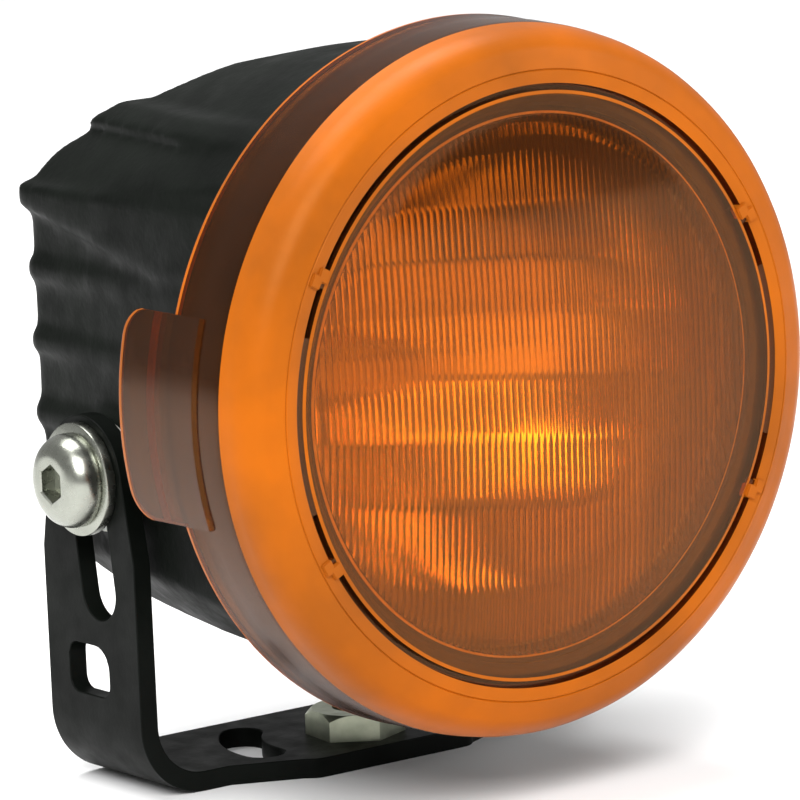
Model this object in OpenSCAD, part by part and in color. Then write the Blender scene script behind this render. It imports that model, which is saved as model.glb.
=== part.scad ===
// Round 4 inch auxiliary driving lamp with an amber clip-on cover and a U-bracket.
// +X is to the right as seen from the front, -Y is the way the light leaves, +Z is up. Millimetres.
// The origin is the centre of the mounting hole at the underside of the bracket.

/* [Bracket] */
// Distance over the outer faces of the two arms
bracket_w = 82.6; // [82:0.2:84]
// Width of the steel strip, front to back
strip_w = 23.6; // [22:0.2:26]
// Thickness of the steel strip
strip_t = 3; // [2.5:0.1:3]
// Inside radius of the two bends
bend_r = 8; // [5:0.5:10]
// Reach of the base's nose in front of the mounting hole
nose_reach = 10; // [9.5:0.5:12]
// Half width of the nose's front edge
nose_half_w = 14; // [13:0.5:16]
// Radius of the mounting hole in the base
mount_hole_r = 4.5; // [4.3:0.05:4.6]
// How far behind the mounting hole the pivot is
pivot_y = 8; // [7.5:0.5:9]
// Height of the pivot above the base's underside
pivot_z = 47; // [46:0.5:50]
// Radius of each arm's rounded top about the pivot
arm_top_r = 9.4; // [8.5:0.1:10]

/* [Pivot] */
// Radius of the pivot screws' threaded shaft
screw_r = 4; // [3.9:0.05:4]
// Radius of the pivot screws' round head
screw_head_r = 7; // [6.5:0.1:7.2]
// Outer radius of the washers beside each arm
washer_r = 8.4; // [8:0.1:8.8]
// Thickness of the washer outside each arm
washer_t = 1.6; // [1.2:0.1:2]
// How far the pivot screws can slide down the arm slots
slot_travel = 10; // [0:1:10]

/* [Lamp] */
// Height of the lamp's axis above the pivot
axis_rise = 14.4; // [13:0.2:16]
// Distance from the housing's rim plane back to the pivot
rim_to_pivot = 37.5; // [36:0.5:39]
// Radius of the housing's front flange
flange_r = 49.2; // [48:0.1:49.4]
// Half width of the housing's side walls at the front
body_half_w = 37.1; // [36:0.1:37.2]
// How much narrower each side wall is at the back
wall_taper = 3; // [2:0.5:4]
// Depth of the housing behind its rim plane
body_depth = 61; // [58:0.5:62]
// How far the ribs stand out behind the housing
rib_rise = 1.7; // [1:0.1:1.8]
// Distance between neighbouring ribs
rib_pitch = 11; // [10.4:0.1:11.2]
// Visible radius of the lens
lens_r = 40; // [39:0.1:40]
// Radius of curvature of the lens's front
lens_dome_r = 300; // [250:10:400]

/* [Cover] */
// Radius of the amber cover at its open rim
cover_r = 52; // [51.5:0.1:52.5]
// Wall thickness of the cover
cover_t = 2; // [1.6:0.1:2]
// Height of the two side tabs
tab_h = 30; // [26:1:32]

/* [Hidden] */
$fn = 96;
arm_x = bracket_w / 2;          // outer face of an arm
arm_in_x = arm_x - strip_t;     // inner face of an arm
half_strip = strip_w / 2;
bend_out_r = bend_r + strip_t;
pivot_screw_slot_r = screw_r + 0.2;
slot_lean = 8;                  // degrees that each arm's slot leans forward
slot_len = slot_travel + 6.9;   // from the pivot to the slot's lower end centre
nut_r = 7.51;                   // M8 hex, 13 mm across flats
nut_t = 4;
nut_turn = 23;                  // degrees, about the mounting hole
thread_r = 3.4;                 // wall of the M8 nut's thread
rim_y = pivot_y - rim_to_pivot;
axis_z = pivot_z + axis_rise;
boss_x = arm_in_x - 1;          // outer end of the housing's pivot boss
flange_front = -11;             // lamp frame, from the rim plane
flange_back = 3;
cavity_r = 33.8;
cavity_back = 46;
floor_drop = 36.8;              // housing's underside below the lamp axis
big_rib_z = 24.8;
rib_taper = 1.8;                // the ribs draw in less than the side walls
tier_rib_z = 37.2;
gland_at = [0, 0, -16];         // lamp frame
vent_at = [-18, 0, -16];
screw_ring_r = 45.6;            // bezel screws, from the lamp axis
bridge_screw_r = 13;
board_screw_r = 24;
lens_edge_y = -16.1;            // front of the lens's flat edge
gasket_y = -13.1;
reflector_in_r = 13;
reflector_out_r = 37.2;
ledge_y = bowl_y(reflector_out_r); // front of the reflector's flange
ledge_t = 1.2;
bezel_front = -17.3;
cover_front = -21.4;            // crown of the cover
cover_in_r = 49.9;
ring_in_r = 43.5;
ring_out_r = 47;

// Points of an arc about c from angle a0 to a1
function arc(c, r, a0, a1, n = 6) =
    [for (i = [0:n]) c + r * [cos(a0 + (a1 - a0) * i / n), sin(a0 + (a1 - a0) * i / n)]];
// Inner surface of the reflector: distance from the rim plane at radius r
function bowl_y(r) = 24 - 37 * pow(r / 38, 2);

// Lamp frame: its origin is the centre of the rim plane
module lamp_frame() { translate([0, rim_y, axis_z]) children(); }
// Turns +Z of a revolved shape to +Y of the lamp frame
module along_y() { rotate([-90, 0, 0]) children(); }
// A cylinder along Y from y0 to y1
module rod_y(r, y0, y1) { translate([0, y0, 0]) along_y() cylinder(r = r, h = y1 - y0); }
// A tube along Y
module tube_y(ro, ri, y0, y1) {
    difference() {
        rod_y(ro, y0, y1);
        rod_y(ri, y0 - 1, y1 + 1);
    }
}
// A cylinder along X from x0 to x1, at the pivot axis
module pivot_rod(r, x0, x1) {
    translate([x0, pivot_y, pivot_z]) rotate([0, 90, 0]) cylinder(r = r, h = x1 - x0);
}
// The same thing on the left and on the right
module both_sides() {
    children();
    mirror([1, 0, 0]) children();
}
module around(n, r, start = 0) {
    for (i = [0:n - 1]) rotate([0, start + 360 * i / n, 0]) translate([r, 0, 0]) children();
}

// ---- Bracket ----
// Outline of one arm in the YZ plane, with its slot and its window; Y is measured from the pivot
module arm_outline() {
    taper_z = 35.5;
    difference() {
        union() {
            translate([0, pivot_z]) circle(r = arm_top_r);
            polygon([[-half_strip, bend_out_r], [half_strip, bend_out_r], [half_strip, taper_z],
                [arm_top_r * cos(10), pivot_z + arm_top_r * sin(10)],
                [-arm_top_r * cos(10), pivot_z + arm_top_r * sin(10)], [-half_strip, taper_z]]);
        }
        translate([0, pivot_z]) rotate(-slot_lean) polygon(concat(
            arc([0, 0], pivot_screw_slot_r, 0, 180, 24),
            arc([0, -slot_len], pivot_screw_slot_r, 180, 360, 24)));
        window_outline();
    }
}
// Rounded window low in the arm
module window_outline() {
    polygon(concat(arc([-1.9, 16.4], 2, 180, 270), arc([4.2, 16.4], 2, 270, 360),
        arc([4.2, 19.9], 2, 0, 90), arc([-0.4, 18.4], 3.5, 90, 180)));
}
// Base outline with the forward nose, seen from above
module base_outline() {
    flat_x = arm_x - bend_out_r;
    root_x = 26;
    nose_r = 3;
    front_y = pivot_y - half_strip;
    back_y = pivot_y + half_strip;
    polygon(concat([[-flat_x, back_y], [-flat_x, front_y], [-root_x, front_y]],
        arc([-nose_half_w + 1, -nose_reach + nose_r], nose_r, 215, 270),
        arc([nose_half_w - 1, -nose_reach + nose_r], nose_r, 270, 325),
        [[root_x, front_y], [flat_x, front_y], [flat_x, back_y]]));
}
// Outline of the arc slot on the left of the mounting hole
module arc_slot_outline() {
    mid_r = 17.4;
    half_w = 3.2;
    from = 135;
    to = 182;
    polygon(concat(arc([0, 0], mid_r + half_w, from, to, 16),
        arc(mid_r * [cos(to), sin(to)], half_w, to, to + 180, 8),
        arc([0, 0], mid_r - half_w, to, from, 16),
        arc(mid_r * [cos(from), sin(from)], half_w, from + 180, from + 360, 8)));
}
module bend() {
    translate([arm_x - bend_out_r, pivot_y + half_strip, bend_out_r]) rotate([90, 0, 0])
        rotate([0, 0, -90]) rotate_extrude(angle = 90)
            translate([bend_r, 0]) square([strip_t, strip_w]);
}
module bracket() {
    color([0.03, 0.035, 0.03]) union() {
        difference() {
            linear_extrude(strip_t) difference() {
                base_outline();
                both_sides() arc_slot_outline();
            }
            translate([0, 0, -1]) cylinder(r = mount_hole_r, h = strip_t + 2);
        }
        both_sides() {
            bend();
            translate([arm_in_x, pivot_y, 0]) rotate([90, 0, 90]) linear_extrude(strip_t) arm_outline();
        }
    }
}
module mount_nut() {
    color("silver") translate([0, 0, strip_t]) difference() {
        intersection() {
            rotate(nut_turn) cylinder(r = nut_r, h = nut_t, $fn = 6);
            cylinder(r1 = nut_r + nut_t - 1, r2 = nut_r - 1, h = nut_t);
        }
        translate([0, 0, -1]) cylinder(r = thread_r, h = nut_t + 2);
    }
}

// ---- Pivot ----
module washer_at(x0, t, ro, ri) {
    difference() {
        pivot_rod(ro, x0, x0 + t);
        pivot_rod(ri, x0 - 1, x0 + t + 1);
    }
}
module slot_washers() {
    color("silver") both_sides() washer_at(arm_x, washer_t, washer_r, screw_r + 0.15);
}
module friction_washers() {
    color([0.75, 0.75, 0.7]) both_sides()
        washer_at(boss_x, arm_in_x - boss_x - 0.05, washer_r, screw_r + 0.15);
}
// Button-head screw with a hex socket
module pivot_screw() {
    head_k = 4.4;
    socket_r = 2.9;
    seat_x = arm_x + washer_t;
    shank = seat_x - boss_x + 9.5;
    dome_n = 6;
    face_r = socket_r + 0.6;
    translate([seat_x, pivot_y, pivot_z]) rotate([0, 90, 0]) difference() {
        rotate_extrude() polygon(concat([[0, -shank], [screw_r - 0.8, -shank],
            [screw_r, 0.8 - shank], [screw_r, 0], [screw_head_r - 0.3, 0]],
            [for (i = [0:dome_n]) let (a = 90 * i / dome_n)
                [face_r + (screw_head_r - face_r) * cos(a), 0.8 + (head_k - 0.8) * sin(a)]],
            [[0, head_k]]));
        translate([0, 0, head_k - 2.6]) cylinder(r = socket_r, h = 4, $fn = 6);
    }
}
module pivot_screw_left() { color("gainsboro") mirror([1, 0, 0]) pivot_screw(); }
module pivot_screw_right() { color("gainsboro") pivot_screw(); }

// ---- Housing ----
// Side outline of the housing in the YZ plane, grown by g at the back and the bottom
module side_outline(g) {
    back = body_depth + g;
    low = -floor_drop - g;
    polygon(concat([[0, 48], [0, low - 3], [9, low - 1.6], [back - 28, low]],
        arc([back - 28, low + 26], 26, 270, 348, 8),
        [[back, -3], [back, big_rib_z]],
        arc([back - 7, big_rib_z + 3], 5, 0, 70, 4), [[38, 43.5 + g], [24, 46.5 + g]]));
}
// Round outline of the housing, grown by g
module round_outline(g) {
    along_y() rotate_extrude() polygon([[0, 0], [flange_r - 1, 0], [flange_r - 1, flange_back],
        [46.6 + g, 24], [45 + g, 38], [43 + g, body_depth + g], [0, body_depth + g]]);
}
module body_solid(g, side_g, taper) {
    intersection() {
        translate([-60, 0, 0]) rotate([90, 0, 90]) linear_extrude(120) side_outline(g);
        translate([0, 0, -60]) linear_extrude(120) plan_outline(side_g, taper);
        round_outline(g);
    }
}
// Plan outline: the side walls draw in towards the back, grown by g
module plan_outline(g, taper) {
    back = body_depth + g;
    half_w = body_half_w + g;
    corner = 3;
    polygon(concat([[-half_w, 0], [half_w, 0], [half_w, 18]],
        arc([half_w - taper - corner, back - corner], corner, 0, 90, 4),
        arc([corner + taper - half_w, back - corner], corner, 90, 180, 4), [[-half_w, 18]]));
}
// One horizontal rib that wraps the sides and the back and fades out towards the front
module rib(z, back_rise, t) {
    intersection() {
        body_solid(back_rise, 0, rib_taper);
        translate([-60, 6, z - t / 2]) cube([120, 80, t]);
    }
}
// The thick rib at shoulder height, whose underside flares down towards the front
module shoulder_rib() {
    back = body_depth + 5;
    top = big_rib_z + 2;
    flare_z = big_rib_z - 8.5;
    intersection() {
        body_solid(3, 0.6, rib_taper);
        translate([-60, 0, 0]) rotate([90, 0, 90]) linear_extrude(120)
            polygon([[6, top], [back, top], [back, big_rib_z - 2], [58, big_rib_z - 2], [22, flare_z], [6, flare_z]]);
    }
}
// Cooling pockets between the ribs at the back
module cooling_pockets() {
    pocket_half_w = 30;
    pocket_h = rib_pitch - 3.4;
    for (i = [0:2]) translate([-pocket_half_w, cavity_back + 5, big_rib_z - 1.7 - pocket_h - i * rib_pitch])
        cube([2 * pocket_half_w, 40, pocket_h]);
}
module housing() {
    color([0.035, 0.04, 0.035]) difference() {
        union() {
            lamp_frame() {
                rod_y(flange_r, flange_front, flange_back);
                body_solid(0, 0, wall_taper);
                shoulder_rib();
                rib(tier_rib_z, rib_rise, 3);
                for (i = [1:3]) rib(big_rib_z - i * rib_pitch, rib_rise, 2.6);
                translate(gland_at) rod_y(9.3, cavity_back, body_depth);
                translate(vent_at) rod_y(6.4, cavity_back, body_depth);
            }
            both_sides() pivot_rod(9, body_half_w - 8, boss_x);
        }
        lamp_frame() {
            rod_y(cavity_r, flange_front - 1, 30);
            rod_y(27, 29, cavity_back);
            rod_y(38.9, flange_front - 1, -1);
            rod_y(40.9, flange_front - 1, ledge_y + ledge_t);
            cooling_pockets();
            around(6, screw_ring_r, 30) rod_y(1.5, flange_front - 1, 1);
            around(3, bridge_screw_r, 30) rod_y(1.5, cavity_back - 1, cavity_back + 4);
            around(3, board_screw_r, 30) rod_y(1.25, cavity_back - 1, cavity_back + 4);
            gland_bore();
            vent_bore();
        }
        both_sides() pivot_rod(screw_r + 0.05, boss_x - 11.5, boss_x + 1);
    }
}
module gland_bore() { translate(gland_at) rod_y(6, cavity_back - 1, body_depth + 5); }
module vent_bore() { translate(vent_at) rod_y(3, cavity_back - 1, body_depth + 5); }

// ---- Front ----
module bezel_ring() {
    color([0.03, 0.03, 0.03]) lamp_frame() difference() {
        along_y() rotate_extrude() polygon([[lens_r + 1.9, flange_front], [lens_r + 1.9, lens_edge_y],
            [lens_r + 0.1, lens_edge_y], [lens_r + 0.1, bezel_front + 0.5], [lens_r + 0.7, bezel_front],
            [ring_in_r - 0.8, bezel_front], [ring_in_r - 0.2, bezel_front + 0.6],
            [ring_in_r - 0.2, -14.5], [48.2, -14.5], [48.2, flange_front]]);
        around(6, screw_ring_r, 30) rod_y(1.6, -16, 0);
        around(6, screw_ring_r, 30) rod_y(2.9, -16, -13);
    }
}
module bezel_screws() {
    color("dimgray") lamp_frame() around(6, screw_ring_r, 30) {
        rod_y(1.45, -13, -1);
        difference() {
            rod_y(2.75, -15, -13);
            rod_y(1.2, -16, -14);
        }
    }
}
// Clear dome with a flat clamped edge
module lens() {
    sag = lens_dome_r - sqrt(pow(lens_dome_r, 2) - pow(lens_r, 2));
    crown_y = lens_edge_y - sag - 0.2;
    color([0.9, 0.9, 0.85, 0.4]) lamp_frame() union() {
        tube_y(lens_r + 1.7, lens_r - 1, lens_edge_y, gasket_y);
        difference() {
            intersection() {
                rod_y(lens_r, crown_y - 1, gasket_y);
                translate([0, crown_y + lens_dome_r, 0]) sphere(r = lens_dome_r, $fn = 360);
            }
            translate([0, crown_y + lens_dome_r + 3, 0]) sphere(r = lens_dome_r, $fn = 360);
        }
    }
}
module lens_gasket() {
    color([0.1, 0.1, 0.1]) lamp_frame() tube_y(lens_r + 1.7, 39.2, gasket_y, ledge_y);
}
module reflector() {
    wall = 1.4;
    n = 12;
    r0 = reflector_in_r;
    r1 = reflector_out_r;
    color([0.85, 0.87, 0.88]) lamp_frame() along_y() rotate_extrude() polygon(concat(
        [for (i = [0:n]) let (r = r0 + (r1 - r0) * i / n) [r, bowl_y(r)]],
        [[40.7, ledge_y], [40.7, ledge_y + ledge_t], [38.7, ledge_y + ledge_t]],
        [for (i = [n:-1:0]) let (r = r0 + (r1 - r0) * i / n) [r + wall * (i > 0 ? 1 : 0.6), bowl_y(r) + wall]]));
}

// ---- Light source ----
bridge_half_w = 9;
bridge_half_t = 2.5;
module led_bridge() {
    color([0.7, 0.7, 0.72]) lamp_frame() difference() {
        union() {
            translate([-bridge_half_w, 3, -bridge_half_t])
                cube([2 * bridge_half_w, cavity_back - 5, 2 * bridge_half_t]);
            rod_y(16, cavity_back - 4, cavity_back);
        }
        around(3, bridge_screw_r, 30) rod_y(1.6, cavity_back - 5, cavity_back + 1);
    }
}
module bridge_screws() {
    color("dimgray") lamp_frame() around(3, bridge_screw_r, 30) {
        rod_y(1.45, cavity_back - 4, cavity_back + 3.5);
        rod_y(2.7, cavity_back - 6, cavity_back - 4);
    }
}
module led_board() {
    board_l = 15;
    translate([-7.5, 5, bridge_half_t]) cube([15, board_l, 1.2]);
}
module led_board_upper() { color("white") lamp_frame() led_board(); }
module led_board_lower() { color("white") lamp_frame() mirror([0, 0, 1]) led_board(); }
module led_chips() {
    color([0.95, 0.85, 0.3]) lamp_frame() for (m = [0, 1]) mirror([0, 0, m]) for (i = [0, 1])
        translate([-5 + 5.5 * i, 9, bridge_half_t + 1.2]) union() {
            cube([4.5, 4.5, 0.9]);
            translate([2.25, 2.25, 0.9]) intersection() {
                sphere(r = 1.7, $fn = 32);
                cylinder(r = 3, h = 3);
            }
        }
}
board_y = 33;
module driver_board() {
    color([0.05, 0.3, 0.15]) lamp_frame() difference() {
        tube_y(26.5, 14, board_y, board_y + 1.6);
        around(3, board_screw_r, 30) rod_y(1.6, board_y - 1, board_y + 3);
    }
}
module driver_inductor() {
    color([0.2, 0.2, 0.22]) lamp_frame() translate([-19.5, 0, 6]) difference() {
        rod_y(4.2, board_y - 5, board_y);
        rod_y(1.5, board_y - 6, board_y - 1);
    }
}
module driver_capacitors() {
    color("silver") lamp_frame() for (z = [-4.5, 4.5]) translate([20, 0, z]) rod_y(3.2, board_y - 6, board_y);
}
module driver_connector() {
    color("ivory") lamp_frame() translate([-4.5, board_y - 5, -23]) difference() {
        cube([9, 5, 6]);
        for (x = [1.2, 5]) translate([x, -1, 1.5]) cube([2.8, 4.5, 3]);
    }
}
// Spacer screws that hold the driver board off the housing's back wall
module board_screws() {
    color("dimgray") lamp_frame() around(3, board_screw_r, 30) {
        rod_y(1.2, board_y - 1, cavity_back + 3.5);
        rod_y(2.4, board_y - 1.8, board_y);
        tube_y(2.4, 1.2, board_y + 1.6, cavity_back);
    }
}

// ---- Back fittings ----
module vent_plug() {
    color([0.15, 0.15, 0.15]) lamp_frame() translate(vent_at) {
        rod_y(2.95, cavity_back + 1, body_depth + 0.4);
        rod_y(5, body_depth, body_depth + 1.6);
    }
}
module cable_gland() {
    color([0.06, 0.06, 0.06]) lamp_frame() translate(gland_at) difference() {
        union() {
            rod_y(5.95, cavity_back + 1, body_depth + 7);
            translate([0, body_depth, 0]) along_y() cylinder(r = 8, h = 3, $fn = 6);
        }
        rod_y(3.9, cavity_back, body_depth + 8);
    }
}
module gland_seal() {
    color([0.2, 0.2, 0.2]) lamp_frame() translate(gland_at)
        tube_y(3.85, 2.5, body_depth - 1, body_depth + 7);
}
module gland_nut() {
    color([0.06, 0.06, 0.06]) lamp_frame() translate(gland_at) difference() {
        union() {
            translate([0, body_depth + 3.2, 0]) along_y() cylinder(r = 8, h = 4.5, $fn = 6);
            translate([0, body_depth + 7.7, 0]) along_y() cylinder(r1 = 6.9, r2 = 4.6, h = 3.5);
        }
        rod_y(6.05, body_depth + 3, body_depth + 7.2);
        rod_y(3, body_depth + 7, body_depth + 12);
    }
}

// ---- Cover ----
module cover_shell() {
    y_edge = -19.2;
    along_y() rotate_extrude() polygon([
        [0, cover_front], [ring_in_r * 0.5, cover_front + 0.5], [ring_in_r - 0.7, y_edge],
        [ring_in_r - 0.3, y_edge + 0.9], [ring_in_r + 0.2, y_edge + 0.9], [ring_in_r + 0.6, y_edge],
        [ring_out_r - 0.8, y_edge], [ring_out_r + 0.2, y_edge + 0.4], [50, -16.4], [51.2, -14.2],
        [51.6, -11], [cover_r, -1.4], [cover_r, 0], [cover_in_r, 0], [cover_in_r - 0.2, -11],
        [cover_in_r - 0.6, -13.2], [48.3, -15.2], [ring_out_r - 0.6, -17.4], [ring_in_r + 0.7, -17.4],
        [ring_in_r - 0.5, -17.6], [ring_in_r * 0.5, cover_front + 0.5 + cover_t], [0, cover_front + cover_t]]);
}
// Side tab that clips behind the flange
module cover_tab() {
    tab_back = 11;
    corner = 4;
    tab_t = 1.7;
    half = tab_h / 2;
    intersection() {
        tube_y(cover_r + 0.6, cover_r + 0.6 - tab_t, -7, tab_back);
        translate([60, 0, 0]) rotate([90, 0, -90]) linear_extrude(40) polygon(concat(
            [[7, -half], [7, half]], arc([-tab_back + corner, half - corner], corner, 90, 180),
            arc([-tab_back + corner, -half + corner], corner, 180, 270)));
    }
}
module amber_cover() {
    color([0.95, 0.45, 0.1, 0.6]) lamp_frame() union() {
        cover_shell();
        both_sides() cover_tab();
    }
}
// Four small moulded pads that centre the cover on the bezel
module cover_pads() {
    color([0.95, 0.5, 0.15]) lamp_frame() for (a = [28, 152, 208, 332]) rotate([0, a, 0])
        translate([ring_in_r + 0.8, -17.4, -1.5]) cube([2, 2, 3]);
}

bracket();
mount_nut();
slot_washers();
friction_washers();
pivot_screw_left();
pivot_screw_right();
housing();
bezel_ring();
bezel_screws();
lens();
lens_gasket();
reflector();
led_bridge();
bridge_screws();
led_board_upper();
led_board_lower();
led_chips();
driver_board();
driver_inductor();
driver_capacitors();
driver_connector();
board_screws();
vent_plug();
cable_gland();
gland_nut();
gland_seal();
amber_cover();
cover_pads();
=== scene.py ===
"""Looks of the round auxiliary driving lamp with its amber cover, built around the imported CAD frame.

Lengths of the lamp are millimetres, and those of the stage, the lights and the camera are metres. In the
lamp's own frame the origin is the centre of the housing's rim plane, -Y is the way the light leaves and +Z
is up; LAMP carries that frame into the row frame in metres.
"""

import math

import bmesh
import bpy
from mathutils import Matrix, Vector


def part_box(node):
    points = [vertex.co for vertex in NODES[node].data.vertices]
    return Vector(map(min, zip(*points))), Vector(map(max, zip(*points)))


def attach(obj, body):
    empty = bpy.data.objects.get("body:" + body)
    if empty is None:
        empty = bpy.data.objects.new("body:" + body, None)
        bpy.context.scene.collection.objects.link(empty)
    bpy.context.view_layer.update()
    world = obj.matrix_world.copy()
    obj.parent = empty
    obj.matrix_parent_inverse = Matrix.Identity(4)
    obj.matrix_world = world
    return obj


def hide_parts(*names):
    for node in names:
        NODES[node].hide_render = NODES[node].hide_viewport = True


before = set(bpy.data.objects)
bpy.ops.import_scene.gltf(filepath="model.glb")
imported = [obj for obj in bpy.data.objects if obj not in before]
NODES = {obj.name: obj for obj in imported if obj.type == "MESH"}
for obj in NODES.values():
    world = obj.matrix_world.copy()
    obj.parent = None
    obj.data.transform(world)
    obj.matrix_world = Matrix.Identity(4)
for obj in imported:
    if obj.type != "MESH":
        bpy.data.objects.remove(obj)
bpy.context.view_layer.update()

MM = 0.001

# ---- Places taken from the frame ----
lens_lo, lens_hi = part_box("lens")
screw_lo, screw_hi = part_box("pivot_screw_right")
LENS_BACK = -13.1  # from the rim plane to the lens's back face
LENS_CROWN = LENS_BACK - (lens_hi.y - lens_lo.y) / MM
AXIS_Z = (lens_lo.z + lens_hi.z) / 2 / MM
RIM_Y = lens_hi.y / MM - LENS_BACK
PIVOT_Y = (screw_lo.y + screw_hi.y) / 2 / MM
PIVOT_Z = (screw_lo.z + screw_hi.z) / 2 / MM
LAMP = Matrix.Scale(MM, 4) @ Matrix.Translation((0, RIM_Y, AXIS_Z))


# ---- Mesh helpers ----
def steps(start, stop, count):
    """count + 1 evenly spaced numbers from start to stop."""
    return [start + (stop - start) * i / count for i in range(count + 1)]


MERGE_GAP = 0.0004


def finish_mesh(name, bm, place, materials, sharp):
    """Turns a bmesh in millimetres into an object in the row frame; edges over sharp degrees stay sharp."""
    bmesh.ops.remove_doubles(bm, verts=bm.verts, dist=MERGE_GAP)
    bmesh.ops.dissolve_degenerate(bm, edges=bm.edges, dist=MERGE_GAP)
    bmesh.ops.recalc_face_normals(bm, faces=bm.faces)
    for face in bm.faces:
        face.smooth = True
    mesh = bpy.data.meshes.new(name)
    bm.to_mesh(mesh)
    bm.free()
    mesh.transform(place)
    for material in materials:
        mesh.materials.append(material)
    mesh.set_sharp_from_angle(angle=math.radians(sharp))
    obj = bpy.data.objects.new(name, mesh)
    bpy.context.scene.collection.objects.link(obj)
    return obj


def piece(name, bm, body, materials, replaces=(), place=LAMP, sharp=32):
    """A finished piece that rides on a CAD body and stands for the CAD nodes in replaces."""
    obj = finish_mesh(name, bm, place, materials, sharp)
    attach(obj, body)
    if replaces:
        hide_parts(*replaces)
    return obj


def revolve(section, angles):
    """Revolves section(angle) -> [(radius, y, zone), ...] about the Y axis, through angles in degrees.

    Every section has the same number of points. A zone is the material index of the strip after its point.
    """
    bm = bmesh.new()
    rings = []
    for angle in angles:
        a = math.radians(angle)
        points = section(angle)
        rings.append([bm.verts.new((r * math.cos(a), y, r * math.sin(a))) for r, y, _ in points])
    zones = [zone for _, _, zone in section(angles[0])]
    for near, far in zip(rings, rings[1:] + rings[:1]):
        for i, zone in enumerate(zones):
            j = (i + 1) % len(zones)
            face = bm.faces.new((near[i], near[j], far[j], far[i]))
            face.material_index = zone
    return bm


def even_angles(count):
    return [360 * i / count for i in range(count)]


def one_zone(points):
    """Outline points [(radius, y), ...] as a section that has a single material."""
    return [(r, y, 0) for r, y in points]


def hex_radius(angle, across_flats):
    """Distance from a hexagon's middle to its edge at an angle."""
    return across_flats / 2 / math.cos(math.radians((angle + 30) % 60 - 30))


def disc_solid(radius, lines, rows, front, back, rim, rim_zones, swap=False):
    """A closed disc with a grid of lines across it, and a ring around it.

    lines are places along X (along Z if swap) from -radius to radius, rows the number of strips along each.
    front and back give y at (x, z). rim is the ring's outline [(radius, y), ...] from front to back.
    """
    bm = bmesh.new()
    grids = []
    for surface in (front, back):
        grid = []
        for line in lines:
            half = math.sqrt(max(radius ** 2 - line ** 2, 0))
            column = []
            for s in steps(-1, 1, rows):
                x, z = (s * half, line) if swap else (line, s * half)
                column.append(bm.verts.new((x, surface(x, z), z)))
            grid.append(column)
        for left, right in zip(grid, grid[1:]):
            for j in range(rows):
                bm.faces.new((left[j], left[j + 1], right[j + 1], right[j]))
        grids.append(grid)
    last = len(lines) - 1
    loop = [(i, rows) for i in range(last + 1)] + [(last, j) for j in range(rows - 1, -1, -1)]
    loop += [(i, 0) for i in range(last - 1, -1, -1)] + [(0, j) for j in range(1, rows)]
    chains = []
    for i, j in loop:
        x, z = grids[0][i][j].co.x, grids[0][i][j].co.z
        a = math.atan2(z, x)
        ring = [bm.verts.new((r * math.cos(a), y, r * math.sin(a))) for r, y in rim]
        chains.append([grids[0][i][j]] + ring + [grids[1][i][j]])
    for near, far in zip(chains, chains[1:] + chains[:1]):
        for i, zone in enumerate(rim_zones):
            face = bm.faces.new((near[i], near[i + 1], far[i + 1], far[i]))
            face.material_index = zone
    return bm


RIM_STEPS = (0.8, 1.6, 2.6, 3.8, 5.2, 6.8, 8.6, 10.6, 12.8, 15, 17.5)  # degrees from the disc's ends


def disc_lines(radius, inner):
    """inner places across a disc, with finer ones towards both ends so that the outline stays round."""
    ends = [radius * math.cos(math.radians(a)) for a in RIM_STEPS]
    places = [x for x in inner if abs(x) < ends[-1]] + ends + [-x for x in ends]
    return sorted(places)


def smooth_shading():
    """A node group that drops a mesh's stored normals and shades its faces smooth, for use as a modifier."""
    tree = bpy.data.node_groups.new("smooth_shading", "GeometryNodeTree")
    for way in ("INPUT", "OUTPUT"):
        tree.interface.new_socket("Geometry", in_out=way, socket_type="NodeSocketGeometry")
    drop = tree.nodes.new("GeometryNodeRemoveAttribute")
    drop.inputs["Name"].default_value = "custom_normal"
    chain = [tree.nodes.new("NodeGroupInput"), drop, tree.nodes.new("GeometryNodeSetShadeSmooth"),
             tree.nodes.new("NodeGroupOutput")]
    for near, far in zip(chain, chain[1:]):
        tree.links.new(near.outputs["Geometry"], far.inputs["Geometry"])
    return tree


SMOOTH_SHADING = smooth_shading()
WELD_GAP = 0.002
FLAT_ANGLE = 0.4
EDGE_ANGLE = 28


def weld(obj):
    """Adds the modifiers that drop the stored normals and join the corners that faces share."""
    shading = obj.modifiers.new("shading", "NODES")
    shading.node_group = SMOOTH_SHADING
    joined = obj.modifiers.new("weld", "WELD")
    joined.merge_threshold = WELD_GAP * MM


def soften(obj, width, segments):
    """Rounds the edges with modifiers only, so that a CAD node's own mesh stays as it is."""
    weld(obj)
    flat = obj.modifiers.new("flat", "DECIMATE")
    flat.decimate_type = "DISSOLVE"
    flat.angle_limit = math.radians(FLAT_ANGLE)
    bevel = obj.modifiers.new("bevel", "BEVEL")
    bevel.width = width * MM
    bevel.segments = segments
    bevel.limit_method = "ANGLE"
    bevel.angle_limit = math.radians(EDGE_ANGLE)
    bevel.use_clamp_overlap = True
    bevel.harden_normals = True
    bevel.miter_outer = "MITER_ARC"


# ---- Materials ----
def shader(name, colour, rough, **inputs):
    """A Principled material whose other inputs are given by name, such as Metallic=1."""
    material = bpy.data.materials.new(name)
    material.use_nodes = True
    node = material.node_tree.nodes["Principled BSDF"]
    node.inputs["Base Color"].default_value = (*colour, 1)
    node.inputs["Roughness"].default_value = rough
    for key, value in inputs.items():
        node.inputs[key.replace("_", " ")].default_value = value
    return material


NOISE_ROUGHNESS = 0.55
MOTTLE_BAND = (0.35, 0.68)
GLOSS_BAND = (0.3, 0.7)
GLOSS_PER_MOTTLE = 2.7
GRAIN_DETAIL = 3


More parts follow.
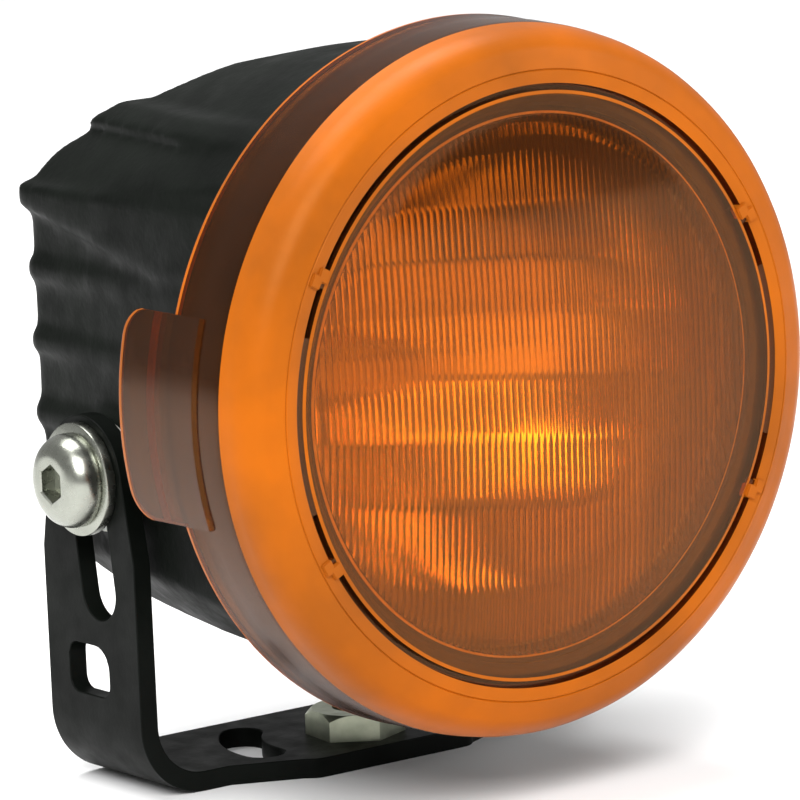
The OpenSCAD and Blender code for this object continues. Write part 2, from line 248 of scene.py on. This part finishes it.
def noise(tree, scale, detail=4, stretch=(1, 1, 1)):
    """Noise in the object's own metres; scale is features per metre."""
    place = tree.nodes.new("ShaderNodeTexCoord")
    mapping = tree.nodes.new("ShaderNodeMapping")
    mapping.inputs["Scale"].default_value = stretch
    tree.links.new(place.outputs["Object"], mapping.inputs["Vector"])
    texture = tree.nodes.new("ShaderNodeTexNoise")
    texture.inputs["Scale"].default_value = scale
    texture.inputs["Detail"].default_value = detail
    texture.inputs["Roughness"].default_value = NOISE_ROUGHNESS
    tree.links.new(mapping.outputs["Vector"], texture.inputs["Vector"])
    return texture.outputs["Fac"]


def ramp(tree, value, low, high, out_low, out_high):
    """value, carried from the range low to high to the range out_low to out_high."""
    node = tree.nodes.new("ShaderNodeMapRange")
    node.inputs["From Min"].default_value = low
    node.inputs["From Max"].default_value = high
    node.inputs["To Min"].default_value = out_low
    node.inputs["To Max"].default_value = out_high
    tree.links.new(value, node.inputs["Value"])
    return node.outputs["Result"]


def blend_colour(tree, factor, a, b):
    """Colour a where factor is 0, and b where it is 1."""
    node = tree.nodes.new("ShaderNodeMix")
    node.data_type = "RGBA"
    node.inputs["A"].default_value = (*a, 1)
    node.inputs["B"].default_value = (*b, 1)
    tree.links.new(factor, node.inputs["Factor"])
    return node.outputs["Result"]


def surface(name, colour, worn, rough, spread, mottle, grain, relief, stretch=(1, 1, 1), **inputs):
    """A finished surface: mottled colour, uneven gloss and a fine relief.

    mottle and grain are features per metre, relief is the grain's height in millimetres.
    """
    material = shader(name, colour, rough, **inputs)
    tree = material.node_tree
    node = tree.nodes["Principled BSDF"]
    patches = ramp(tree, noise(tree, mottle, stretch=stretch), *MOTTLE_BAND, 0, 1)
    tree.links.new(blend_colour(tree, patches, colour, worn), node.inputs["Base Color"])
    cloud = noise(tree, mottle * GLOSS_PER_MOTTLE, stretch=stretch)
    gloss = ramp(tree, cloud, *GLOSS_BAND, rough - spread, rough + spread)
    tree.links.new(gloss, node.inputs["Roughness"])
    bump = tree.nodes.new("ShaderNodeBump")
    bump.inputs["Strength"].default_value = 1
    bump.inputs["Distance"].default_value = relief * MM
    tree.links.new(noise(tree, grain, GRAIN_DETAIL, stretch), bump.inputs["Height"])
    tree.links.new(bump.outputs["Normal"], node.inputs["Normal"])
    return material


POWDER_COAT = surface("powder_coat", (0.0018, 0.0024, 0.0018), (0.004, 0.005, 0.004),
                      rough=0.46, spread=0.08, mottle=90, grain=1500, relief=0.02,
                      Specular_IOR_Level=0.06)
CAST_BLACK = surface("cast_black", (0.0018, 0.0026, 0.0018), (0.0042, 0.0056, 0.0042),
                     rough=0.5, spread=0.1, mottle=70, grain=900, relief=0.06, Specular_IOR_Level=0.07)
BEZEL_BLACK = surface("bezel_black", (0.006, 0.006, 0.005), (0.011, 0.0105, 0.009),
                      rough=0.42, spread=0.08, mottle=120, grain=1600, relief=0.02,
                      Specular_IOR_Level=0.15)
STAINLESS = surface("stainless", (0.36, 0.37, 0.325), (0.29, 0.30, 0.26),
                    rough=0.27, spread=0.06, mottle=180, grain=2400, relief=0.0015, Metallic=1.0)
ZINC = surface("zinc_plate", (0.52, 0.55, 0.42), (0.40, 0.43, 0.32),
               rough=0.36, spread=0.08, mottle=300, grain=1800, relief=0.003, Metallic=1.0)
DARK_STEEL = surface("dark_steel", (0.09, 0.09, 0.09), (0.14, 0.13, 0.12),
                     rough=0.38, spread=0.08, mottle=400, grain=2600, relief=0.005, Metallic=1.0)
NYLON = surface("nylon", (0.62, 0.62, 0.57), (0.55, 0.55, 0.50),
                rough=0.55, spread=0.06, mottle=300, grain=2000, relief=0.01, Subsurface_Weight=0.15)
RUBBER = surface("gasket_rubber", (0.012, 0.012, 0.012), (0.022, 0.021, 0.02),
                 rough=0.75, spread=0.08, mottle=300, grain=2600, relief=0.02, Specular_IOR_Level=0.3)
ALUMINIUM = surface("bare_aluminium", (0.62, 0.62, 0.63), (0.5, 0.5, 0.51),
                    rough=0.32, spread=0.08, mottle=220, grain=2200, relief=0.006, stretch=(1, 0.1, 1),
                    Metallic=1.0)
WHITE_BOARD = surface("white_board", (0.78, 0.78, 0.75), (0.70, 0.69, 0.64),
                      rough=0.45, spread=0.06, mottle=300, grain=2500, relief=0.006)
PHOSPHOR = surface("phosphor", (0.85, 0.62, 0.08), (0.78, 0.52, 0.05),
                   rough=0.22, spread=0.05, mottle=500, grain=3000, relief=0.004, Coat_Weight=0.6,
                   Subsurface_Weight=0.2)
GREEN_BOARD = surface("green_board", (0.01, 0.11, 0.04), (0.02, 0.16, 0.06),
                      rough=0.35, spread=0.08, mottle=500, grain=1500, relief=0.01)
FERRITE = surface("ferrite", (0.03, 0.03, 0.033), (0.06, 0.055, 0.05),
                  rough=0.6, spread=0.08, mottle=500, grain=2600, relief=0.03)
CAN_ALUMINIUM = surface("can_aluminium", (0.6, 0.6, 0.61), (0.45, 0.45, 0.5),
                        rough=0.3, spread=0.06, mottle=400, grain=2000, relief=0.005, Metallic=1.0)
IVORY = surface("ivory_plastic", (0.68, 0.62, 0.44), (0.6, 0.53, 0.36),
                rough=0.45, spread=0.06, mottle=400, grain=2000, relief=0.008)
BLACK_PLASTIC = surface("black_plastic", (0.012, 0.012, 0.012), (0.02, 0.02, 0.019),
                        rough=0.5, spread=0.08, mottle=250, grain=1800, relief=0.03)
MIRROR = surface("bright_reflector", (0.84, 0.84, 0.85), (0.76, 0.76, 0.77),
                 rough=0.13, spread=0.04, mottle=60, grain=300, relief=0.003, Metallic=1.0)

AMBER_GLOSS = (1.0, 0.5, 0.2, 1.0)
CLEAR_AMBER = surface("amber_clear", (0.98, 0.42, 0.06), (0.95, 0.37, 0.05),
                      rough=0.05, spread=0.03, mottle=40, grain=160, relief=0.004,
                      Transmission_Weight=1.0, IOR=1.5, Specular_IOR_Level=0.2, Specular_Tint=AMBER_GLOSS)
SATIN_AMBER = surface("amber_satin", (0.55, 0.128, 0.005), (0.36, 0.09, 0.007),
                      rough=0.38, spread=0.08, mottle=40, grain=500, relief=0.03,
                      Transmission_Weight=0.25, IOR=1.45, Specular_IOR_Level=0.16,
                      Specular_Tint=AMBER_GLOSS)
# Painted shade: the side wall and tabs get a much darker amber than the window, standing in for the shade
# behind the wall, where little light comes through.
SHADED_WALL_AMBER = surface("amber_wall_painted_shade", (0.30, 0.085, 0.010), (0.20, 0.055, 0.007),
                     rough=0.16, spread=0.05, mottle=60, grain=300, relief=0.02, Transmission_Weight=0.96,
                     IOR=1.45, Specular_IOR_Level=0.12, Specular_Tint=AMBER_GLOSS)
# Painted shade: the fine channel's faces get this much darker amber, which stands in for the shade inside the
# groove.
CHANNEL_SHADE_AMBER = surface("amber_channel_painted_shade", (0.10, 0.025, 0.004), (0.07, 0.016, 0.003),
                     rough=0.2, spread=0.05, mottle=60, grain=500, relief=0.02, Transmission_Weight=0.8,
                     IOR=1.5, Specular_IOR_Level=0.2, Specular_Tint=AMBER_GLOSS)
LENS_EDGE = surface("lens_black_edge", (0.003, 0.003, 0.0025), (0.006, 0.0055, 0.005),
                    rough=0.4, spread=0.06, mottle=200, grain=1500, relief=0.004, Specular_IOR_Level=0.1)
# Painted highlight: a pale rough band at the lens's rim, standing in for the bright line along its edge.
LENS_HIGHLIGHT_RIM = surface("lens_rim_painted_highlight", (0.7, 0.7, 0.66), (0.55, 0.55, 0.5),
                   rough=0.5, spread=0.06, mottle=200, grain=1500, relief=0.01)
CLEAR_LENS = surface("clear_lens", (0.98, 0.98, 0.96), (0.95, 0.95, 0.93),
                     rough=0.03, spread=0.02, mottle=60, grain=300, relief=0.002, Transmission_Weight=1.0,
                     IOR=1.5, Specular_IOR_Level=0.2)
FLOOR_WHITE = surface("floor_white", (0.86, 0.86, 0.86), (0.85, 0.85, 0.85),
                      rough=0.75, spread=0.03, mottle=3, grain=40, relief=0.01, Specular_IOR_Level=0.2)


# ---- Amber cover ----
COVER_R = 52
TAB_REACH = 11
TAB_HALF = 15
TAB_CORNER = 4
TAB_STEP = 0.6
TAB_EDGE_STEPS = (-0.03, 0.03, 0.35, 0.8, 1.5, 2.4, 3.4)  # degrees inwards from a tab's edge
GLASS_R = 41.6
WINDOW_Y = -21.35
WINDOW_R = 42
WINDOW_SAG = 1.9
WINDOW_T = 2
WINDOW_RINGS = 9
SHOULDER_R = 47.1
SHOULDER_Y = -12.7
SHOULDER_WIDE = 4.3
SHOULDER_LONG = 6.4
SHOULDER_STEPS = 7
CHANNEL_R = 42.4
CHANNEL_DEPTH = 1.1
CHANNEL_EDGE = 0.12  # degrees over which the channel ends
COVER_SEGMENTS = 288
WINDOW, SATIN, WALL, CHANNEL = range(4)
PAD_ANGLES = (28, 152, 208, 332)
CHANNEL_GAPS = ((0, 17), (180, 17)) + tuple((angle, 1.6) for angle in PAD_ANGLES)


def tab_reach(angle):
    """How far behind the rim the cover reaches at an angle: 0 away from its two side tabs."""
    z = abs(COVER_R * math.sin(math.radians(angle)))
    if z > TAB_HALF:
        return 0
    corner = max(z - (TAB_HALF - TAB_CORNER), 0)
    return TAB_REACH - TAB_CORNER + math.sqrt(TAB_CORNER ** 2 - corner ** 2)


def channel_depth(angle):
    """Depth of the fine arc channel inside the ring; it stops short of both sides and of the four pads."""
    for centre, half in CHANNEL_GAPS:
        if abs((angle - centre + 180) % 360 - 180) < half:
            return 0
    return CHANNEL_DEPTH


def window_y(r):
    """Front of the domed window at a radius."""
    return WINDOW_Y + WINDOW_SAG * (r / WINDOW_R) ** 2


def ring_front(deep):
    """From the window's edge over the fine channel and a line in the ring, and round the ring's shoulder."""
    edge_y = window_y(CHANNEL_R)
    points = [(41.9, edge_y - 0.1, SATIN), (CHANNEL_R, edge_y, CHANNEL), (42.55, edge_y + deep, CHANNEL),
              (43.2, edge_y + deep, CHANNEL), (43.4, edge_y - 0.05, SATIN), (43.9, -19.55, SATIN),
              (45.2, -19.6, SATIN), (45.35, -19.4, SATIN), (45.5, -19.58, SATIN), (46.6, -19.3, SATIN)]
    for t in steps(0, 90, SHOULDER_STEPS):
        a = math.radians(t)
        r = SHOULDER_R + SHOULDER_WIDE * math.sin(a)
        points.append((r, SHOULDER_Y - SHOULDER_LONG * math.cos(a), SATIN))
    return points


def side_wall(tab):
    """Down the outside of the side wall, and round the end of the wall or of a tab."""
    out = TAB_STEP if tab else 0
    return [(51.55, -12.2, WALL), (51.65, -11.2, WALL), (51.8, -7.3, WALL), (51.82 + out, -6.9, WALL),
            (51.85 + out, -1.6, WALL), (COVER_R + out, max(tab - 1, -1.3), SATIN),
            (COVER_R + out, tab - 0.5, SATIN), (51.8 + out, tab - 0.12, SATIN), (51.4 + out, tab, SATIN)]


def inside(tab):
    """Back up the inside, past a tab's small ridge that hooks behind the housing's flange.

    Without a tab the same number of points fall together at the wall's end.
    """
    if tab:
        points = [(51.2, tab, SATIN), (50.9, max(tab - 0.3, 0), WALL), (50.9, 5.0, SATIN), (49.8, 4.5, SATIN),
                  (49.75, 3.5, SATIN), (50.9, 3.1, WALL), (50.9, 0.2, WALL)]
    else:
        points = [(50.5, tab, SATIN)] + [(50.2, -0.3, WALL)] * 6
    return points + [(49.95, -0.5, WALL), (49.9, -11, WALL), (49.3, -13.4, SATIN), (48.3, -15.2, SATIN),
                     (46.4, -17.4, SATIN), (44.2, -17.4, SATIN), (43, -17.5, WINDOW)]


def cover_section(angle):
    """The cover's closed section, from the middle of the window's front round to the middle of its back."""
    tab = tab_reach(angle)
    front = [(r, window_y(r), WINDOW) for r in steps(0, GLASS_R, WINDOW_RINGS)]
    back = [(r, window_y(r) + WINDOW_T, WINDOW) for r in steps(WINDOW_R, 0, WINDOW_RINGS)]
    return front + ring_front(channel_depth(angle)) + side_wall(tab) + inside(tab) + back


def make_cover():
    """The revolved shell, with extra sections where a tab or the channel ends."""
    edge = math.degrees(math.asin(TAB_HALF / COVER_R))
    fine = set(round(a, 3) for a in even_angles(COVER_SEGMENTS))
    for side in (0, 180):
        for sign in (-1, 1):
            fine |= {round((side + sign * (edge - d)) % 360, 3) for d in TAB_EDGE_STEPS}
    for centre, half in CHANNEL_GAPS:
        for sign in (-1, 1):
            fine |= {round((centre + sign * (half + d)) % 360, 3) for d in (-CHANNEL_EDGE, CHANNEL_EDGE)}
    bm = revolve(cover_section, sorted(fine))
    materials = [CLEAR_AMBER, SATIN_AMBER, SHADED_WALL_AMBER, CHANNEL_SHADE_AMBER]
    piece("cover_shell", bm, "cover", materials, ["amber_cover"], sharp=40)


PAD_OUTLINE = ((-1.6, 42.3), (0.4, 42.3), (0.4, 43.3), (1.6, 43.3), (1.6, 45.0), (-0.4, 45.0), (-0.4, 44.1),
               (-1.6, 44.1))  # across and along the radius
PAD_FRONT = -20.0
PAD_BACK = -15.4
PAD_ROUND = 0.16


def make_pads():
    """Four small stepped pads across the fine channel, moulded through the ring."""
    bm = bmesh.new()
    for k, angle in enumerate(PAD_ANGLES):
        turn = Matrix.Rotation(math.radians(90 - angle), 4, "Y")
        sign = 1 if k % 2 == 0 else -1
        loops = [[bm.verts.new(turn @ Vector((sign * t, y, r))) for t, r in PAD_OUTLINE]
                 for y in (PAD_FRONT, PAD_BACK)]
        bm.faces.new(loops[0])
        bm.faces.new(loops[1])
        for i in range(len(PAD_OUTLINE)):
            j = (i + 1) % len(PAD_OUTLINE)
            bm.faces.new((loops[0][i], loops[0][j], loops[1][j], loops[1][i]))
    bmesh.ops.recalc_face_normals(bm, faces=bm.faces)
    bmesh.ops.bevel(bm, geom=bm.edges[:], offset=PAD_ROUND, segments=2, affect="EDGES")
    piece("moulded_pads", bm, "cover", [SATIN_AMBER], ["cover_pads"])


# ---- Lens and reflector ----
FLUTE_PITCH = 1.07
FLUTE_DEPTH = 0.2
FLUTE_STEPS = 6
FLUTED_R = 38.7
LENS_ROWS = 24
LENS_SPHERE = 300
LENS_T = 2.8


def lens_dome(x, z):
    """The lens's slight dome, without its flutes."""
    return LENS_CROWN + (x * x + z * z) / (2 * LENS_SPHERE)


def lens_front(x, z):
    """The dome with upright flutes, each one crowned."""
    t = (x / FLUTE_PITCH) % 1
    return lens_dome(x, z) + FLUTE_DEPTH * (2 * t - 1) ** 2


def make_lens():
    """The fluted lens, with a pale line round it that is a painted highlight, and a black edge round it."""
    count = int(FLUTED_R / FLUTE_PITCH) + 1
    across = [FLUTE_PITCH * (i + k / FLUTE_STEPS) for i in range(-count, count) for k in range(FLUTE_STEPS)]
    rim = [(38.95, -16.55), (39.3, -16.35), (40, -16.2), (41.7, -16.1), (41.7, LENS_BACK), (39.6, LENS_BACK),
           (39.2, LENS_BACK - 0.3)]
    clear, black, highlight_line = range(3)
    rim_zones = [clear, highlight_line, black, black, black, black, clear, clear]
    bm = disc_solid(FLUTED_R, disc_lines(FLUTED_R, across), LENS_ROWS, lens_front,
                    lambda x, z: lens_dome(x, z) + LENS_T, rim, rim_zones)
    piece("fluted_lens", bm, "head", [CLEAR_LENS, LENS_EDGE, LENS_HIGHLIGHT_RIM], ["lens"], sharp=24)


BAND = 9.0
BAND_STEPS = 12
BAND_CROWN = 0.55
BOWL_R = 37.2
BOWL_Y = 24
BOWL_DEPTH = 37
BOWL_FULL_R = 38
BOWL_T = 1.3
BOWL_ROWS = 96
BRIGHT_R = 31.6
BRIGHT_FADE = 2


def bowl(x, z):
    """Front of the plain parabolic bowl."""
    return BOWL_Y - BOWL_DEPTH * (x * x + z * z) / BOWL_FULL_R ** 2


def facet(x, z):
    """Front of the bowl with its horizontal bands, each one crowned, and a plain skirt outside them."""
    t = (z / BAND + 0.5) % 1
    fade = max(0, min(1, (BRIGHT_R - math.hypot(x, z)) / BRIGHT_FADE))
    return bowl(x, z) + BAND_CROWN * fade * (2 * t - 1) ** 2


def make_reflector():
    """The banded bright bowl; its faces outside BRIGHT_R are black."""
    bands = int(BOWL_R / BAND) + 1
    across = [BAND * (i - 0.5 + k / BAND_STEPS) for i in range(-bands, bands + 1) for k in range(BAND_STEPS)]
    edge = bowl(BOWL_R, 0)
    rim = [(38, edge - 0.05), (40.6, edge), (40.6, edge + 1.2), (38.6, edge + 1.25)]
    bm = disc_solid(BOWL_R, disc_lines(BOWL_R, across), BOWL_ROWS, facet, lambda x, z: bowl(x, z) + BOWL_T,
                    rim, [0] * (len(rim) + 1), swap=True)
    for face in bm.faces:
        middle = face.calc_center_median()
        if math.hypot(middle.x, middle.z) > BRIGHT_R:
            face.material_index = 1
    piece("faceted_reflector", bm, "head", [MIRROR, BEZEL_BLACK], ["reflector"],
          sharp=20)


# ---- Pivot screws and washers ----
def pivot_place(side):
    """Frame of one pivot: its +Y points outwards along the pivot axis."""
    turn = Matrix.Rotation(math.radians(-90 * side), 4, "Z")
    return Matrix.Scale(MM, 4) @ Matrix.Translation((0, PIVOT_Y, PIVOT_Z)) @ turn


SEAT_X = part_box("slot_washers")[1].x / MM
SCREW_END = screw_lo.x / MM
HEAD_R = 7
HEAD_K = 4.4
HEAD_CROWN_R = 3.6
HEAD_FOOT = 0.75
SOCKET = 5
SOCKET_DEPTH = 2.7
THREAD_R = 3.98
ROOT_R = 3.45
THREAD_PITCH = 1.25
SCREW_SEGMENTS = 72
WASHER_SEGMENTS = 96
WASHER_IN = 4.15
WASHER_R = 8.4
WASHER_T = 1.6
WASHER_EDGE = 0.25


def screw_section(angle):
    """Button head with a hex socket, then a threaded shaft."""
    socket = hex_radius(angle, SOCKET)
    top = SEAT_X + HEAD_K
    points = [(0, top - SOCKET_DEPTH), (socket * 0.98, top - SOCKET_DEPTH + 0.2), (socket, top - 0.25),
              (socket + 0.25, top - 0.02)]
    for t in steps(90, 8, 12):
        a = math.radians(t)
        r = HEAD_CROWN_R + (HEAD_R - HEAD_CROWN_R) * math.cos(a)
        points.append((r, SEAT_X + HEAD_FOOT + (HEAD_K - HEAD_FOOT) * math.sin(a)))
    points += [(HEAD_R, SEAT_X + 0.7), (HEAD_R, SEAT_X + 0.25), (HEAD_R - 0.2, SEAT_X), (4, SEAT_X)]
    y = SEAT_X - 1.2
    while y > SCREW_END + 1.6:
        points += [(THREAD_R, y), (THREAD_R, y - 0.15), (ROOT_R, y - 0.6), (ROOT_R, y - 0.75)]
        y -= THREAD_PITCH
    points += [(3.4, SCREW_END + 0.6), (2.9, SCREW_END), (0, SCREW_END)]
    return one_zone(points)


def washer_section(angle):
    """A flat washer under the screw's head, with rounded edges."""
    e = WASHER_EDGE
    y0, y1 = SEAT_X - WASHER_T, SEAT_X
    return one_zone([(WASHER_IN, y0 + e), (WASHER_IN + e, y0), (WASHER_R - e, y0),
                     (WASHER_R - e * 0.3, y0 + e * 0.3), (WASHER_R, y0 + e), (WASHER_R, y1 - e),
                     (WASHER_R - e * 0.3, y1 - e * 0.3), (WASHER_R - e, y1), (WASHER_IN + e, y1),
                     (WASHER_IN, y1 - e)])


def make_pivots():
    """The two button screws, which turn with the head, and the washers that slide with the slots."""
    sides = ((1, "right"), (-1, "left"))
    for side, word in sides:
        screw = revolve(screw_section, even_angles(SCREW_SEGMENTS))
        piece("button_screw_" + word, screw, "head", [STAINLESS], ["pivot_screw_" + word],
              pivot_place(side), sharp=35)
    for side, word in sides:
        washer = revolve(washer_section, even_angles(WASHER_SEGMENTS))
        piece("outer_washer_" + word, washer, "slot_carrier", [STAINLESS], ["slot_washers"],
              pivot_place(side), sharp=30)


# ---- Housing ----
CAST_VOXEL = 0.75
CAST_SMOOTHING = 0.5
CAST_ROUNDS = 12


def make_housing():
    """The CAD housing's shape as a casting: a fine even mesh, smoothed so that every edge is rounded."""
    mesh = NODES["housing"].data.copy()
    mesh.name = "cast_housing"
    mesh.materials.clear()
    mesh.materials.append(CAST_BLACK)
    obj = bpy.data.objects.new("cast_housing", mesh)
    bpy.context.scene.collection.objects.link(obj)
    weld(obj)
    remesh = obj.modifiers.new("even", "REMESH")
    remesh.mode = "VOXEL"
    remesh.voxel_size = CAST_VOXEL * MM
    remesh.use_smooth_shade = True
    smooth = obj.modifiers.new("rounding", "SMOOTH")
    smooth.factor = CAST_SMOOTHING
    smooth.iterations = CAST_ROUNDS
    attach(obj, "head")
    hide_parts("housing")


# ---- Carried-over CAD nodes: name, material, width of the rounded edges, and their segments ----
CAD_LOOKS = (
    ("bracket", POWDER_COAT, 0.45, 3),
    ("mount_nut", ZINC, 0.2, 2),
    ("friction_washers", NYLON, 0.1, 2),
    ("bezel_ring", BEZEL_BLACK, 0.15, 2),
    ("bezel_screws", DARK_STEEL, 0.15, 2),
    ("lens_gasket", RUBBER, 0.1, 2),
    ("led_bridge", ALUMINIUM, 0.2, 2),
    ("bridge_screws", DARK_STEEL, 0.1, 2),
    ("board_screws", DARK_STEEL, 0.1, 2),
    ("led_board_upper", WHITE_BOARD, 0.1, 2),
    ("led_board_lower", WHITE_BOARD, 0.1, 2),
    ("led_chips", PHOSPHOR, 0.08, 2),
    ("driver_board", GREEN_BOARD, 0.1, 2),
    ("driver_inductor", FERRITE, 0.15, 2),
    ("driver_capacitors", CAN_ALUMINIUM, 0.2, 2),
    ("driver_connector", IVORY, 0.15, 2),
    ("vent_plug", BLACK_PLASTIC, 0.2, 2),
    ("cable_gland", BLACK_PLASTIC, 0.2, 2),
    ("gland_nut", BLACK_PLASTIC, 0.2, 2),
    ("gland_seal", RUBBER, 0.2, 2),
)


def paint_cad():
    """Gives each CAD node that is shown as it is its material and rounded edges."""
    for name, material, width, segments in CAD_LOOKS:
        obj = NODES[name]
        soften(obj, width, segments)
        obj.data.materials.clear()
        obj.data.materials.append(material)


# ---- Stage, light and camera ----
FLOOR_R = 25
LIT_SKY = 0.42
SEEN_SKY = 1.0
HEART = (0, -0.02, 0.06)  # what the lights are turned to


def make_floor():
    """A plain pale floor under the bracket."""
    bm = bmesh.new()
    bmesh.ops.create_circle(bm, cap_ends=True, radius=FLOOR_R, segments=96)
    mesh = bpy.data.meshes.new("floor")
    bm.to_mesh(mesh)
    bm.free()
    mesh.materials.append(FLOOR_WHITE)
    floor = bpy.data.objects.new("floor", mesh)
    bpy.context.scene.collection.objects.link(floor)


def softbox(name, at, size, power):
    """A rectangular area light that looks at the lamp's heart."""
    light = bpy.data.lights.new(name, "AREA")
    light.shape = "RECTANGLE"
    light.size, light.size_y = size
    light.energy = power
    obj = bpy.data.objects.new(name, light)
    bpy.context.scene.collection.objects.link(obj)
    obj.location = at
    obj.rotation_mode = "QUATERNION"
    obj.rotation_quaternion = (Vector(HEART) - Vector(at)).to_track_quat("-Z", "Y")


def make_light():
    """A white studio: a backdrop that is seen as white but lights softly, and three softboxes."""
    world = bpy.data.worlds.new("studio")
    world.use_nodes = True
    tree = world.node_tree
    sky = tree.nodes["Background"]
    sky.inputs["Color"].default_value = (1, 1, 1, 1)
    seen = tree.nodes.new("ShaderNodeLightPath").outputs["Is Camera Ray"]
    tree.links.new(ramp(tree, seen, 0, 1, LIT_SKY, SEEN_SKY), sky.inputs["Strength"])
    bpy.context.scene.world = world
    softbox("key", at=(-0.9, -0.9, 1.1), size=(0.9, 0.9), power=34)
    softbox("fill", at=(1.0, -1.1, 0.6), size=(0.8, 0.8), power=7)
    softbox("top", at=(0.0, 0.35, 1.3), size=(1.2, 0.7), power=22)


VIEW_AZIMUTH = math.radians(-36.66)
VIEW_ELEVATION = math.radians(10.04)
VIEW_ROLL = math.radians(-2.37)
VIEW_DISTANCE = 0.85508
VIEW_LENS = 267.4
SENSOR = 36
# The point in the middle of the view
AIM = Vector((-11.4, RIM_Y - 0.5, AXIS_Z - 2.5)) * MM


def make_camera():
    """The camera, turned about its own line of sight by VIEW_ROLL."""
    back = Vector((math.sin(VIEW_AZIMUTH) * math.cos(VIEW_ELEVATION),
                   -math.cos(VIEW_AZIMUTH) * math.cos(VIEW_ELEVATION), math.sin(VIEW_ELEVATION)))
    level = Vector((0, 0, 1)).cross(back).normalized()
    upright = back.cross(level)
    right = level * math.cos(VIEW_ROLL) + upright * math.sin(VIEW_ROLL)
    up = upright * math.cos(VIEW_ROLL) - level * math.sin(VIEW_ROLL)
    camera = bpy.data.cameras.new("camera")
    camera.lens = VIEW_LENS
    camera.sensor_width = SENSOR
    camera.clip_start, camera.clip_end = 0.01, 100
    obj = bpy.data.objects.new("camera", camera)
    bpy.context.scene.collection.objects.link(obj)
    turn = Matrix((right, up, back)).transposed().to_4x4()
    obj.matrix_world = Matrix.Translation(AIM + back * VIEW_DISTANCE) @ turn
    bpy.context.scene.camera = obj


make_camera()
make_light()
make_floor()
make_cover()
make_pads()
make_lens()
make_reflector()
make_pivots()
make_housing()
paint_cad()
bpy.context.scene.view_settings.view_transform = "Standard"
